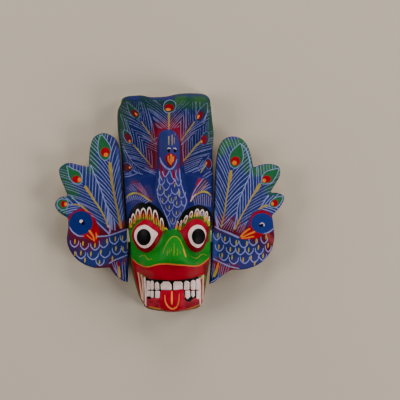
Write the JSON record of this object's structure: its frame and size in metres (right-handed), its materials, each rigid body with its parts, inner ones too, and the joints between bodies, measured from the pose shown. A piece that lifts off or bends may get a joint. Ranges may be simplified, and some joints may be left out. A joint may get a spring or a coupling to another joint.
{
  "type": "painted wooden peacock mask",
  "caption": "Painted wooden wall mask: a demon face with bulging eyes and tongue out, a peacock rising over its brow before a tail-fan crown, and a peacock-shaped board plugged into each side.",
  "frame": {"origin": "centre of the overall box, at the flat back that the mask lies on", "axes": "+Z the way the face looks, +Y towards the crown, +X to the right of someone looking at the face"},
  "size_m": [0.23, 0.219, 0.0517],
  "materials": {
    "painted_mask": "satin enamel in blue, green, red, yellow, white and black over light wood",
    "painted_boards": "satin enamel in blue and green with pale feather lines over light wood"
  },
  "bodies": {
    "root": {"carved_mask": "painted_mask", "left_peacock_board": "painted_boards", "right_peacock_board": "painted_boards"}
  },
  "joints": []
}
